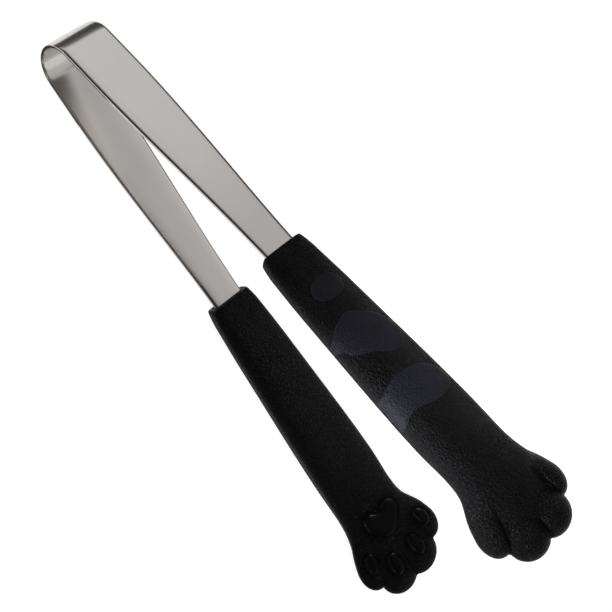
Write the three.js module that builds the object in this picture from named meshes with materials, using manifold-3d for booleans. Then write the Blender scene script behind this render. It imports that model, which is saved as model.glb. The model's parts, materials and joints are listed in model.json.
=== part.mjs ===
// Spring tongs for the barbecue. One strip of stainless steel is bent round into a bow with two arms,
// and a silicone sleeve shaped as a cat's paw is moulded over the end of each arm.
// Millimetres. X runs from the bow to the toes, Y across the strip and Z up.
// The lower arm lies on the table, and the upper arm stands open above it.

import * as THREE from 'three';
import * as BufferGeometryUtils from 'three/addons/utils/BufferGeometryUtils.js';
import Module from 'manifold-3d';

const wasm = await Module();
wasm.setup();

const half = (size) => size / 2;
const radians = THREE.MathUtils.degToRad;

// Spring strip. Its two halves meet at the crown of the bow, where one turns against the other.
const stripThickness = 1.6;
const stripWidth = 18.4;
const bowDepth = 10;
const bowHalfHeight = 11.4;
const bowGap = 0.5;
const headAngle = 10.4;
const waistAngle = 7.6;
const sleeveAngle = 8.5;
const archEnd = 96;
const straightLength = 5;
const mouthDistance = archEnd + straightLength;
const taperStart = 22;
const taperPastMouth = 7;
const taperEnd = mouthDistance + taperPastMouth;

// Tang: the end of each arm that is hidden in its sleeve, with the holes that the silicone flows through
const tangWidth = 12.1;
const tangLength = 74;
const tangTipWidth = 9;
const lockHoleDiameter = 4;
const lockHoleShares = [0.32, 0.72];
const seatClearance = 0.3;

// Sleeve. Along runs down the arm from the mouth, and heights are taken from the middle of the steel.
const bodyLength = 120;
const wristHalfWidth = 13.2;
const backHeight = 6.2;
const gripHeight = 3.6;

// Sections of the sleeve as shares of those four sizes: place along, half width, height of the back
// and height of the grip side. The last number says how square the section is.
const sectionShares = [
  [0, 0.64, 0.43, 0.72, 1],
  [0.04, 0.71, 0.49, 0.8, 0.75],
  [0.1, 0.76, 0.56, 0.88, 0.5],
  [0.17, 0.805, 0.63, 0.96, 0.4],
  [0.3, 0.865, 0.72, 1, 0.36],
  [0.43, 0.925, 0.82, 1, 0.34],
  [0.55, 0.97, 0.9, 0.97, 0.32],
  [0.67, 1, 0.97, 0.8, 0.28],
  [0.76, 1.04, 1, 0.55, 0.24],
  [0.83, 1.16, 0.97, 0.42, 0.2],
  [0.9, 1.04, 0.86, 0.4, 0.12],
  [0.96, 0.74, 0.66, 0.36, 0.06],
  [1, 0.34, 0.45, 0.3, 0],
];
const roundExponent = 2.2;
const squareExponent = 6;
const toeExponent = 2;

// Toes: how far short of the body's end the centre of the round tip stands, its level, the reach to the
// tip and back into the paw, and the height above and below that level
const middleToe = {
  setBack: 3.4,
  across: 5.8,
  level: 0.4,
  turnAngle: 7,
  front: 7.1,
  rear: 17,
  halfWidth: 8.2,
  back: 4.6,
  grip: 2,
};
const sideToe = {
  setBack: 12,
  across: 13.5,
  level: -0.4,
  turnAngle: 18,
  front: 8.2,
  rear: 20,
  halfWidth: 6.2,
  back: 4.9,
  grip: 1.4,
};

// Pads: firmer silicone inlays on the grip side, which lift off its surface and have a rounded edge.
// A toe's pad stands back from the centre of its toe and inward of it, and the palm's is a gap behind.
const padSeatDepth = 0.9;
const padEdgeRadius = 0.5;
const middleToePad = { setBack: 4, inward: 0, turnAngle: 8, length: 9, width: 6.4, rise: 0.9 };
const sideToePad = { setBack: 1.6, inward: -0.3, turnAngle: 20, length: 8, width: 5.6, rise: 0.9 };
const palmPad = { gap: 4.4, length: 12, width: 17.2, dip: 2, rise: 0.9, gripShare: 0.42 };

// Patches: thin inlays of another shade, flush in the back. Their outlines are shares of length and width,
// and each stands a gap from the one before it, the first from the mouth.
const patchDepth = 0.6;
const eggPatch = { gap: 14.8, across: 0.8, length: 8.4, width: 12 };
const eggShares = [
  [-0.42, -0.3], [-0.5, 0.05], [-0.36, 0.4], [0.04, 0.5],
  [0.4, 0.36], [0.5, 0], [0.34, -0.38], [-0.08, -0.5],
];
const beanPatch = { gap: 5.6, across: -0.7, length: 19.4, width: 22 };
const beanShares = [
  [-0.34, -0.4], [-0.5, -0.04], [-0.38, 0.19], [-0.14, 0.4], [0.2, 0.5],
  [0.46, 0.38], [0.46, 0.12], [0.28, -0.1], [0.13, -0.36], [-0.12, -0.5],
];
const wristPatch = { gap: 5.6, across: -1.6, length: 14.4, width: 24.4 };
const wristShares = [
  [-0.21, -0.5], [-0.42, -0.3], [-0.5, -0.06], [-0.4, 0.26], [-0.1, 0.46], [0.26, 0.5],
  [0.46, 0.38], [0.46, 0.1], [0.34, -0.14], [0.36, -0.34], [0.48, -0.5],
];

// How finely the curves are divided
const bowSteps = 12;
const archSteps = 7;
const curveSteps = 8;
const sleeveSteps = 30;
const sectionPoints = 28;
const toeSteps = 14;
const toePoints = 20;
const ovalPoints = 18;
const patchSteps = 2;
const padEdgeSteps = 2;
const pinPoints = 16;
const restSteps = 8;
const cutOverrun = 5;

const steelFinish = { color: 0xb9b5b1, roughness: 0.34, metalness: 1 };
const sleeveFinish = { color: 0x131315, roughness: 0.72, metalness: 0 };
const patchFinish = { color: 0x2c2c35, roughness: 0.66, metalness: 0 };
const padFinish = { color: 0x18181b, roughness: 0.6, metalness: 0 };

// Solids and geometries

function toSolid(geometry) {
  const bare = geometry.clone();
  bare.deleteAttribute('normal');
  bare.deleteAttribute('uv');
  const merged = BufferGeometryUtils.mergeVertices(bare);
  const vertProperties = new Float32Array(merged.attributes.position.array);
  const triVerts = new Uint32Array(merged.index.array);
  return new wasm.Manifold(new wasm.Mesh({ numProp: 3, vertProperties, triVerts }));
}

function toGeometry(solid) {
  const { vertProperties, triVerts } = solid.getMesh();
  const shared = new THREE.BufferGeometry();
  shared.setAttribute('position', new THREE.BufferAttribute(vertProperties, 3));
  shared.setIndex(new THREE.BufferAttribute(triVerts, 1));
  const faceted = shared.toNonIndexed();
  faceted.computeVertexNormals();
  return faceted;
}

const joined = (solids) => solids.reduce((whole, solid) => whole.add(solid));
const cutBy = (solid, cutters) => cutters.reduce((rest, cutter) => rest.subtract(cutter), solid);

// A closed solid through rings of points that follow each other along X, with a flat end on each side
function skinned(rings) {
  const count = rings[0].length;
  const lastRing = (rings.length - 1) * count;
  const points = rings.flat();
  const centre = (ring) => ring.reduce((sum, p) => sum.add(p), new THREE.Vector3()).divideScalar(count);
  const frontCentre = points.push(centre(rings[0])) - 1;
  const endCentre = points.push(centre(rings[rings.length - 1])) - 1;
  const index = [];
  for (let k = 0; k < count; k += 1) {
    const next = (k + 1) % count;
    index.push(frontCentre, next, k, endCentre, lastRing + k, lastRing + next);
    for (let row = 0; row < lastRing; row += count) {
      index.push(row + k, row + next, row + count + k);
      index.push(row + next, row + count + next, row + count + k);
    }
  }
  const geometry = new THREE.BufferGeometry().setFromPoints(points);
  return geometry.setIndex(index);
}

const signedPower = (value, exponent) => Math.sign(value) * Math.abs(value) ** exponent;

// One ring of a section across the arm, with its own height above and below the level of its widest line
function sectionRing(x, halfWidth, up, down, exponent, count) {
  return Array.from({ length: count }, (_, k) => {
    const angle = (k / count) * 2 * Math.PI;
    const y = halfWidth * signedPower(Math.cos(angle), 2 / exponent);
    const z = signedPower(Math.sin(angle), 2 / exponent);
    return new THREE.Vector3(x, y, z * (z > 0 ? up : down));
  });
}

// Outlines in plan, as lists of points that run anticlockwise and don't repeat the first one

function outlineOf(path) {
  const points = path.getPoints(curveSteps);
  return points[0].equals(points[points.length - 1]) ? points.slice(0, -1) : points;
}

const mirrored = (outline) => outline.map(({ x, y }) => new THREE.Vector2(x, -y)).reverse();

function grown(outline, distance) {
  return outline.map((point, k) => {
    const before = outline[(k + outline.length - 1) % outline.length];
    const after = outline[(k + 1) % outline.length];
    const along = after.clone().sub(before).normalize();
    return new THREE.Vector2(point.x + along.y * distance, point.y - along.x * distance);
  });
}

const toeCentre = (carrier) => bodyLength - carrier.setBack;

function ovalOutline({ setBack, inward, turnAngle, length, width }, carrier, side) {
  const along = toeCentre(carrier) - setBack;
  const across = (carrier.across - inward) * side;
  const turn = radians(turnAngle * side);
  const curve = new THREE.EllipseCurve(along, across, half(length), half(width), 0, 2 * Math.PI, false, turn);
  return curve.getPoints(ovalPoints).slice(0, -1);
}

// The place where an inlay ends that stands a gap after a start
const endAfter = (start, { gap, length }) => start + gap + length;

function patchOutline(start, { gap, across, length, width }, shares) {
  const along = start + gap + half(length);
  const corners = shares.map(([x, y]) => new THREE.Vector3(along + length * x, across + width * y, 0));
  const curve = new THREE.CatmullRomCurve3(corners, true);
  const points = curve.getPoints(patchSteps * corners.length).slice(0, -1);
  return points.map(({ x, y }) => new THREE.Vector2(x, y)).reverse();
}

// Two lobes towards the wrist, and one round front towards the toes
function palmOutline({ gap, length, width, dip }) {
  const end = toeCentre(middleToe) - middleToePad.setBack - half(middleToePad.length) - gap;
  const along = end - length;
  const reach = half(width);
  const path = new THREE.Path();
  path.moveTo(along + dip, 0);
  path.bezierCurveTo(along + dip, -reach / 4, along, -reach / 3, along, -half(reach));
  path.bezierCurveTo(along, -reach, along + half(length), -reach - half(dip), end - length / 3, -reach * 0.7);
  path.bezierCurveTo(end - length / 6, -half(reach), end, -reach / 3, end, 0);
  const oneSide = path.getPoints(curveSteps);
  const otherSide = mirrored(oneSide).slice(1, -1);
  return [...oneSide, ...otherSide];
}

function prism(outline, bottom, top) {
  const size = { depth: top - bottom, bevelEnabled: false };
  return new THREE.ExtrudeGeometry(new THREE.Shape(outline), size).translate(0, 0, bottom);
}

// Spring strip, in the frame of the closed pair: X from the crown of the bow, and Z off the middle plane

const directionAt = (angle) => new THREE.Vector2(Math.cos(radians(angle)), Math.sin(radians(angle)));
const normalAt = (angle) => new THREE.Vector2(-Math.sin(radians(angle)), Math.cos(radians(angle)));

// The outer face in side view, from the crown of the bow to the end of the arch, with its normals.
// The bow is a quarter of an ellipse that ends where its slope is that of the arm.
function outerFace() {
  const firstTurn = Math.asin(half(bowGap) / bowHalfHeight);
  const lastTurn = Math.atan(bowHalfHeight / (bowDepth * Math.tan(radians(headAngle))));
  const stations = Array.from({ length: bowSteps + 1 }, (_, k) => {
    const turn = THREE.MathUtils.lerp(firstTurn, lastTurn, k / bowSteps);
    const point = new THREE.Vector2(bowDepth - bowDepth * Math.cos(turn), bowHalfHeight * Math.sin(turn));
    const normal = new THREE.Vector2(-bowHalfHeight * Math.cos(turn), bowDepth * Math.sin(turn)).normalize();
    return { point, normal };
  });
  const archStart = stations[bowSteps].point;
  const run = (archEnd - archStart.x) / archSteps;
  let place = archStart;
  for (let k = 0; k < archSteps; k += 1) {
    const slope = THREE.MathUtils.lerp(headAngle, waistAngle, (k + 1) / archSteps);
    place = new THREE.Vector2(place.x + run, place.y + run * Math.tan(radians(slope)));
    stations.push({ point: place, normal: normalAt(slope) });
  }
  return stations;
}

const armFace = outerFace();
const tangDirection = directionAt(sleeveAngle);
const tangNormal = normalAt(sleeveAngle);

// The middle of the steel at the mouth of the sleeve, and at the tip of the tang
const mouthPoint = armFace[armFace.length - 1].point.clone()
  .addScaledVector(tangDirection, (mouthDistance - archEnd) / tangDirection.x)
  .addScaledVector(tangNormal, -half(stripThickness));
const tangTip = mouthPoint.clone().addScaledVector(tangDirection, tangLength);

function stripSideView(clearance) {
  const lastPoint = tangTip.clone()
    .addScaledVector(tangNormal, half(stripThickness))
    .addScaledVector(tangDirection, clearance);
  const stations = [...armFace, { point: lastPoint, normal: tangNormal }];
  const moved = (distance) => stations.map(({ point, normal }) => {
    return point.clone().addScaledVector(normal, distance);
  });
  return [...moved(clearance), ...moved(-stripThickness - clearance).reverse()];
}

// From above: full width at the bow, a long easy curve down to the tang, and a rounded tip
function stripPlan(clearance) {
  const wide = half(stripWidth) + clearance;
  const narrow = half(tangWidth) + clearance;
  const tip = half(tangTipWidth) + clearance;
  const tipAt = tangTip.x + clearance;
  const tipStart = tipAt - half(tangTipWidth);
  const third = (taperEnd - taperStart) / 3;
  const path = new THREE.Path();
  path.moveTo(-cutOverrun, -wide);
  path.lineTo(taperStart, -wide);
  path.bezierCurveTo(taperStart + third, -wide, taperEnd - third, -narrow, taperEnd, -narrow);
  path.lineTo(tipStart, -tip);
  path.bezierCurveTo(half(tipStart + tipAt), -tip, tipAt, -half(tip), tipAt, 0);
  path.bezierCurveTo(tipAt, half(tip), half(tipStart + tipAt), tip, tipStart, tip);
  path.lineTo(taperEnd, narrow);
  path.bezierCurveTo(taperEnd - third, narrow, taperStart + third, wide, taperStart, wide);
  path.lineTo(-cutOverrun, wide);
  path.lineTo(-cutOverrun, -wide);
  return outlineOf(path);
}

// Pins square to the tang, through its locking holes
function lockPins(radius) {
  return lockHoleShares.map((share) => {
    const place = mouthPoint.clone().addScaledVector(tangDirection, tangLength * share);
    const pin = new THREE.CylinderGeometry(radius, radius, 2 * cutOverrun, pinPoints);
    pin.rotateX(half(Math.PI)).rotateY(-radians(sleeveAngle));
    return toSolid(pin.translate(place.x, 0, place.y));
  });
}

function springArm(clearance) {
  const reach = half(stripWidth) + cutOverrun;
  const side = prism(stripSideView(clearance), -reach, reach).rotateX(half(Math.PI));
  const plan = prism(stripPlan(clearance), -cutOverrun, tangTip.y + cutOverrun);
  const blank = toSolid(side).intersect(toSolid(plan));
  return cutBy(blank, lockPins(half(lockHoleDiameter) - clearance));
}

// Sleeve, in its own frame: X along the arm from the mouth, and Z off the steel on the side of the back

const mouthFrame = new THREE.Group();
mouthFrame.position.set(mouthPoint.x, 0, mouthPoint.y);
mouthFrame.rotation.y = -radians(sleeveAngle);
mouthFrame.updateMatrix();

function sleeveBody(inset) {
  const curves = sectionShares[0].slice(1).map((_, column) => {
    const knots = sectionShares.map((row) => new THREE.Vector2(row[0], row[column + 1]));
    return new THREE.SplineCurve(knots);
  });
  const rings = Array.from({ length: sleeveSteps + 1 }, (_, k) => {
    const [width, back, grip, square] = curves.map((curve) => curve.getPoint(k / sleeveSteps));
    const x = width.x * bodyLength;
    const halfWidth = width.y * wristHalfWidth - inset;
    const up = back.y * backHeight - inset;
    const exponent = THREE.MathUtils.lerp(roundExponent, squareExponent, square.y);
    return sectionRing(x, halfWidth, up, grip.y * gripHeight, exponent, sectionPoints);
  });
  return toSolid(skinned(rings));
}

function toe(size, side) {
  const { across, level, turnAngle, front, rear, halfWidth, back, grip } = size;
  const rings = Array.from({ length: toeSteps - 1 }, (_, k) => {
    const turn = ((k + 1) / toeSteps) * Math.PI;
    const girth = Math.sin(turn);
    const reach = Math.cos(turn);
    const x = -reach * (reach > 0 ? rear : front);
    return sectionRing(x, halfWidth * girth, back * girth, grip * girth, toeExponent, toePoints);
  });
  const turned = skinned(rings).rotateZ(radians(turnAngle * side));
  return toSolid(turned.translate(toeCentre(size), across * side, level));
}

// Each pad has its outline, the level of the surface that it is let into, and its rise above that.

const hands = { left: 1, right: -1 };

function padPair(name, size, carrier) {
  const level = carrier.level - carrier.grip;
  return Object.entries(hands).map(([hand, side]) => {
    return { name: `${hand}_${name}`, outline: ovalOutline(size, carrier, side), level, rise: size.rise };
  });
}

const palmLevel = -gripHeight * palmPad.gripShare;
const pads = [
  { name: 'palm_pad', outline: palmOutline(palmPad), level: palmLevel, rise: palmPad.rise },
  ...padPair('side_toe_pad', sideToePad, sideToe),
  ...padPair('middle_toe_pad', middleToePad, middleToe),
];

function padPocket({ outline, level }) {
  const floor = level + padSeatDepth + seatClearance;
  return toSolid(prism(grown(outline, seatClearance), level - cutOverrun, floor));
}

// The rounded face of a pad looks away from the steel, so its extrusion is turned over.
function padInlay({ outline, level, rise }) {
  const shape = new THREE.Shape(mirrored(grown(outline, -padEdgeRadius)));
  const depth = padSeatDepth + rise - padEdgeRadius;
  const edge = { bevelSize: padEdgeRadius, bevelThickness: padEdgeRadius, bevelSegments: padEdgeSteps };
  const rounded = new THREE.ExtrudeGeometry(shape, { depth, ...edge }).rotateX(Math.PI);
  const seat = level + padSeatDepth;
  const belowSeat = prism(grown(outline, cutOverrun), level - cutOverrun, seat);
  return toSolid(rounded.translate(0, 0, seat)).intersect(toSolid(belowSeat));
}

const eggEnd = endAfter(0, eggPatch);
const beanEnd = endAfter(eggEnd, beanPatch);
const patches = [
  { name: 'front_patch', outline: patchOutline(0, eggPatch, eggShares) },
  { name: 'middle_patch', outline: patchOutline(eggEnd, beanPatch, beanShares) },
  { name: 'wrist_patch', outline: patchOutline(beanEnd, wristPatch, wristShares) },
];

// A patch is the skin of the back inside its outline, and its pocket is cut with the clearance all round.
function patchInlay({ outline }) {
  const column = toSolid(prism(outline, 0, backHeight + cutOverrun));
  return sleeveBody(0).subtract(sleeveBody(patchDepth)).intersect(column);
}

function patchPocket({ outline }) {
  const column = toSolid(prism(grown(outline, seatClearance), -seatClearance, backHeight + cutOverrun));
  return column.subtract(sleeveBody(patchDepth + seatClearance));
}

function pawSleeve() {
  const toes = [middleToe, sideToe].flatMap((size) => Object.values(hands).map((side) => toe(size, side)));
  const outside = joined([sleeveBody(0), ...toes]);
  const tang = toGeometry(springArm(seatClearance)).applyMatrix4(mouthFrame.matrix.clone().invert());
  return cutBy(outside, [toSolid(tang), ...pads.map(padPocket), ...patches.map(patchPocket)]);
}

// Assembly

function piece(name, solid, finish) {
  const mesh = new THREE.Mesh(toGeometry(solid), new THREE.MeshStandardMaterial(finish));
  mesh.name = name;
  return mesh;
}

function arm(level) {
  const atMouth = mouthFrame.clone();
  atMouth.add(piece(`${level}_paw_sleeve`, pawSleeve(), sleeveFinish));
  patches.forEach((patch) => atMouth.add(piece(`${level}_${patch.name}`, patchInlay(patch), patchFinish)));
  pads.forEach((pad) => atMouth.add(piece(`${level}_${pad.name}`, padInlay(pad), padFinish)));
  return new THREE.Group().add(piece(`${level}_spring_arm`, springArm(0), steelFinish), atMouth);
}

// The lower arm is the upper one turned over about X.
const upperArm = arm('upper');
const lowerArm = arm('lower');
lowerArm.rotation.x = Math.PI;

function cornersOf(group) {
  const corners = [];
  group.updateMatrixWorld(true);
  group.traverse((child) => {
    const places = child.geometry?.attributes.position;
    for (let k = 0; k < (places?.count ?? 0); k += 1) {
      corners.push(new THREE.Vector3().fromBufferAttribute(places, k).applyMatrix4(child.matrixWorld));
    }
  });
  return corners;
}

// The lean at which the bow and the back of the lower paw both touch the table
function restLean() {
  const corners = cornersOf(lowerArm);
  const bowSide = corners.filter(({ x }) => x < mouthDistance);
  const pawSide = corners.filter(({ x }) => x > mouthDistance);
  let lean = 0;
  for (let k = 0; k < restSteps; k += 1) {
    const height = ({ x, z }) => x * Math.sin(lean) + z * Math.cos(lean);
    const lowest = (list) => list.reduce((low, corner) => (height(corner) < height(low) ? corner : low));
    const bow = lowest(bowSide);
    const paw = lowest(pawSide);
    lean = Math.atan2(bow.z - paw.z, paw.x - bow.x);
  }
  return lean;
}

const tongs = new THREE.Group().add(upperArm, lowerArm);
tongs.rotation.y = -restLean();

const box = new THREE.Box3().setFromPoints(cornersOf(tongs));
const middle = box.getCenter(new THREE.Vector3());
tongs.position.set(-middle.x, -middle.y, -box.min.z);

export default tongs;
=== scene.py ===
"""Barbecue tongs: one bent strip of stainless steel with a silicone cat's paw moulded over each end.

Lengths are in millimetres in the arm's own frame, where X runs from the crown of the bow to the toes, Y
across the strip and Z off the plane between the arms. Row turns them to metres in the frame of the CAD
model, where the lower arm lies on the table.
"""

from __future__ import annotations

import json
import logging
import math
from dataclasses import dataclass, field
from enum import Enum
from typing import Callable, Sequence

import bmesh
import bpy
import numpy as np
from mathutils import Matrix, Vector
from mathutils.bvhtree import BVHTree
from mathutils.geometry import delaunay_2d_cdt


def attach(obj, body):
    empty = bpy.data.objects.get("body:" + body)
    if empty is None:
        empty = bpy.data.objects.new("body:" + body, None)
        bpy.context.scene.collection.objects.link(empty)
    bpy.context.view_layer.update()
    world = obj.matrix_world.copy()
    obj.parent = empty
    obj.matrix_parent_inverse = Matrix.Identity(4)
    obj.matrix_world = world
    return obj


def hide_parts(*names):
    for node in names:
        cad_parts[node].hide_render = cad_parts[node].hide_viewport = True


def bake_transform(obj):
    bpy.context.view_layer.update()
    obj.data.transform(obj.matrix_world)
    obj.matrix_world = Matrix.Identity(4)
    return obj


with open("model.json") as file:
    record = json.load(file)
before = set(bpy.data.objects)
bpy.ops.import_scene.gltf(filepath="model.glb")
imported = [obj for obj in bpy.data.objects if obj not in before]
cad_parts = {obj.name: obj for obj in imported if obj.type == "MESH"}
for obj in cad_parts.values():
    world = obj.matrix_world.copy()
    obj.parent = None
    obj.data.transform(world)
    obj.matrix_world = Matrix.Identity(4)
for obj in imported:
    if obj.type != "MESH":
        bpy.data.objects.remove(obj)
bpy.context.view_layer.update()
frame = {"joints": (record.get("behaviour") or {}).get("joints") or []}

log = logging.getLogger("tongs")

MM = 0.001
NEXT_TO_NOTHING = 1e-12

# Node types that come up often
MATH, VECTOR_MATH, MAP_RANGE = "ShaderNodeMath", "ShaderNodeVectorMath", "ShaderNodeMapRange"
NOISE, MIX, SEPARATE = "ShaderNodeTexNoise", "ShaderNodeMix", "ShaderNodeSeparateXYZ"
SET_POSITION, READ_ATTRIBUTE = "GeometryNodeSetPosition", "GeometryNodeInputNamedAttribute"


class Level(Enum):
    """Which arm a piece belongs to. The lower arm is the upper one turned over about X."""

    UPPER = 1
    LOWER = -1

    @property
    def word(self) -> str:
        """The arm's word in the names of its nodes."""
        return self.name.lower()

    @property
    def body(self) -> str:
        """The name of the body that the arm's pieces ride on."""
        return f"{self.word}_arm"


class Hand(Enum):
    """The side of a paw, as a sign of Y in the sleeve's frame."""

    LEFT = 1
    RIGHT = -1


class Slot(Enum):
    """The record's material slots."""

    STEEL = "stainless_steel"
    SLEEVE = "sleeve_silicone"
    PATCH = "patch_silicone"
    PAD = "pad_silicone"


# Small helpers


def linear(colour: str) -> tuple[float, float, float, float]:
    """Turns an sRGB hex colour to linear RGBA.

    Args:
        colour: six hex digits after a hash.

    Returns:
        Red, green, blue and an alpha of one, in linear light.
    """
    values = [int(colour[k : k + 2], 16) / 255 for k in (1, 3, 5)]
    light = [v / 12.92 if v <= 0.04045 else ((v + 0.055) / 1.055) ** 2.4 for v in values]
    return (light[0], light[1], light[2], 1.0)


def add_node(
    tree: bpy.types.NodeTree, kind: str, settings: dict | None = None, links: dict | None = None
) -> bpy.types.Node:
    """Adds a node with its settings and its links.

    Args:
        tree: the node tree that takes the node.
        kind: the node's type name.
        settings: properties by name, and values of inputs by name or number.
        links: what goes to each input, by the input's name or number. It is a socket, or a node whose
            first output is meant.

    Returns:
        The new node.
    """
    node = tree.nodes.new(kind)
    for key, value in (settings or {}).items():
        if isinstance(key, str) and hasattr(node, key):
            setattr(node, key, value)
        else:
            node.inputs[key].default_value = value
    for key, source in (links or {}).items():
        socket = source.outputs[0] if isinstance(source, bpy.types.Node) else source
        tree.links.new(socket, node.inputs[key])
    return node


def smoothstep(value: np.ndarray | float) -> np.ndarray | float:
    """An easy step from zero to one, flat at both ends."""
    t = np.clip(value, 0.0, 1.0)
    return t * t * (3 - 2 * t)


def direction_at(angle: float) -> np.ndarray:
    """The direction in side view that stands an angle, in degrees, above X."""
    turn = math.radians(angle)
    return np.array([math.cos(turn), math.sin(turn)])


def normal_at(angle: float) -> np.ndarray:
    """The normal in side view of a line that rises at an angle in degrees."""
    turn = math.radians(angle)
    return np.array([-math.sin(turn), math.cos(turn)])


def between(
    p0: np.ndarray, p1: np.ndarray, p2: np.ndarray, p3: np.ndarray, share: np.ndarray | float
) -> np.ndarray:
    """A cubic with even tangents from the second of four points to the third.

    Args:
        p0: the point before the stretch.
        p1: the stretch's start.
        p2: its end.
        p3: the point after it.
        share: how far along the stretch, from zero to one.

    Returns:
        The place there.
    """
    v0, v1 = (p2 - p0) / 2, (p3 - p1) / 2
    bend = (2 * p1 - 2 * p2 + v0 + v1) * share**3 + (-3 * p1 + 3 * p2 - 2 * v0 - v1) * share**2
    return bend + v0 * share + p1


def knot_spline(knots: np.ndarray, count: int) -> np.ndarray:
    """A smooth curve with even tangents through rows of numbers.

    Args:
        knots: the rows that the curve passes through.
        count: how many rows come back.

    Returns:
        The rows along the curve.
    """
    last = len(knots) - 1
    place = np.linspace(0, last, count)
    first = np.clip(np.floor(place).astype(int), 0, last - 1)
    before, after = np.maximum(first - 1, 0), np.minimum(first + 2, last)
    return between(knots[before], knots[first], knots[first + 1], knots[after], (place - first)[:, None])


def closed_spline(corners: np.ndarray, steps: int) -> np.ndarray:
    """A smooth closed outline through its corners.

    Args:
        corners: the corners in order.
        steps: how many points each stretch between two corners gets.

    Returns:
        The outline's points.
    """
    count = len(corners)
    rows = []
    for k in range(count):
        near = [corners[(k + j) % count] for j in (-1, 0, 1, 2)]
        rows += [between(*near, share) for share in np.arange(steps) / steps]
    return np.array(rows)


def bezier(points: Sequence[Sequence[float]], steps: int) -> list[np.ndarray]:
    """Points along a cubic with four control points.

    Args:
        points: the control points.
        steps: how many points come back.

    Returns:
        The points, from the first control point to just before the last.
    """
    a, b, c, d = (np.array(p, float) for p in points)
    return [
        a * (1 - t) ** 3 + 3 * b * t * (1 - t) ** 2 + 3 * c * t**2 * (1 - t) + d * t**3
        for t in np.arange(steps) / steps
    ]


def edge_distance(points: np.ndarray, outline: np.ndarray) -> np.ndarray:
    """How far points are from a closed outline.

    Args:
        points: the points in plan.
        outline: the outline's points in order.

    Returns:
        The distance of each point.
    """
    start = outline[None, :, :]
    run = np.roll(outline, -1, axis=0)[None, :, :] - start
    gap = points[:, None, :] - start
    share = np.clip((gap * run).sum(2) / np.maximum((run * run).sum(2), NEXT_TO_NOTHING), 0, 1)
    return np.sqrt((((gap - run * share[:, :, None]) ** 2).sum(2)).min(1))


def inside(points: np.ndarray, outline: np.ndarray, level_rise: float = 1e-9) -> np.ndarray:
    """Which points lie inside a closed outline.

    Args:
        points: the points in plan.
        outline: the outline's points in order.
        level_rise: what stands in for the rise of a level stretch, so that nothing is divided by zero.

    Returns:
        True for each point inside.
    """
    x, y = points[:, :1], points[:, 1:2]
    ax, ay = outline[:, 0][None, :], outline[:, 1][None, :]
    bx, by = np.roll(ax, -1, axis=1), np.roll(ay, -1, axis=1)
    rise = np.where(by == ay, level_rise, by - ay)
    crossing = ((ay > y) != (by > y)) & (x < (bx - ax) * (y - ay) / rise + ax)
    return crossing.sum(1) % 2 == 1


def mesh_object(name: str, points: np.ndarray, faces: Sequence[Sequence[int]]) -> bpy.types.Object:
    """Makes a mesh object in the scene.

    Args:
        name: the name of the object and of its mesh.
        points: the mesh's points.
        faces: the numbers of each face's points.

    Returns:
        The object.
    """
    mesh = bpy.data.meshes.new(name)
    mesh.from_pydata([tuple(p) for p in np.asarray(points, float)], [], [tuple(f) for f in faces])
    mesh.validate()
    made = bpy.data.objects.new(name, mesh)
    bpy.context.scene.collection.objects.link(made)
    return made


def face_outwards(made: bpy.types.Object, merge_distance: float = 1e-7) -> None:
    """Merges doubled points and makes every face point out of the closed shape.

    Args:
        made: the object, whose mesh is changed.
        merge_distance: how close two points are merged.
    """
    shape = bmesh.new()
    shape.from_mesh(made.data)
    bmesh.ops.remove_doubles(shape, verts=shape.verts, dist=merge_distance)
    bmesh.ops.recalc_face_normals(shape, faces=shape.faces)
    if shape.calc_volume(signed=True) < 0:
        bmesh.ops.reverse_faces(shape, faces=shape.faces)
    shape.to_mesh(made.data)
    shape.free()


def bake(made: bpy.types.Object, name: str) -> bpy.types.Object:
    """Turns an object with live modifiers into a plain mesh object of the given name.

    Args:
        made: the object whose modifiers are live. It is removed.
        name: the name of the new object.

    Returns:
        The plain mesh object.
    """
    graph = bpy.context.evaluated_depsgraph_get()
    mesh = bpy.data.meshes.new_from_object(made.evaluated_get(graph), depsgraph=graph)
    mesh.name = name
    bpy.data.objects.remove(made)
    plain = bpy.data.objects.new(name, mesh)
    bpy.context.scene.collection.objects.link(plain)
    return plain


def add_modifier(made: bpy.types.Object, kind: str, **settings: object) -> bpy.types.Modifier:
    """Adds a modifier.

    Args:
        made: the object that gets it.
        kind: the modifier's type name.
        settings: its properties by name.

    Returns:
        The modifier.
    """
    modifier = made.modifiers.new(kind.lower(), kind)
    for key, value in settings.items():
        setattr(modifier, key, value)
    return modifier


def places(made: bpy.types.Object) -> np.ndarray:
    """Reads the points of an object's mesh.

    Args:
        made: the object.

    Returns:
        The place of each point.
    """
    found = np.zeros(len(made.data.vertices) * 3)
    made.data.vertices.foreach_get("co", found)
    return found.reshape(-1, 3)


def move_points(made: bpy.types.Object, points: np.ndarray) -> None:
    """Gives an object's mesh new places for its points."""
    made.data.vertices.foreach_set("co", np.asarray(points, float).ravel())
    made.data.update()


# Frames


@dataclass(frozen=True)
class Row:
    """The turn and shift from an arm's own frame, in millimetres, to the CAD frame, in metres.

    The lean is that of the open pair when its bow and the back of its lower paw touch the table.
    """

    lean: float = 10.3819
    crown_x: float = 0.8

    def turn(self) -> Matrix:
        """The turn about Y that leans the pair back onto the table."""
        return Matrix.Rotation(-math.radians(self.lean), 3, "Y")

    def crown(self) -> Vector:
        """The hinge at the crown of the bow, in the CAD frame."""
        return Vector(frame["joints"][0]["pos_m"])

    def matrix(self) -> Matrix:
        """Gives the whole change of frame, with its scale.

        Returns:
            The matrix from the arm's frame in millimetres to the CAD frame in metres.
        """
        turn = self.turn()
        origin = self.crown() - turn @ Vector((self.crown_x * MM, 0, 0))
        return Matrix.Translation(origin) @ turn.to_4x4() @ Matrix.Scale(MM, 4)

    def direction(self, vector: Sequence[float]) -> Vector:
        """A direction of the arm's frame in the CAD frame."""
        return self.turn() @ Vector(vector)


ROW = Row()


# Finishes


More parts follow.
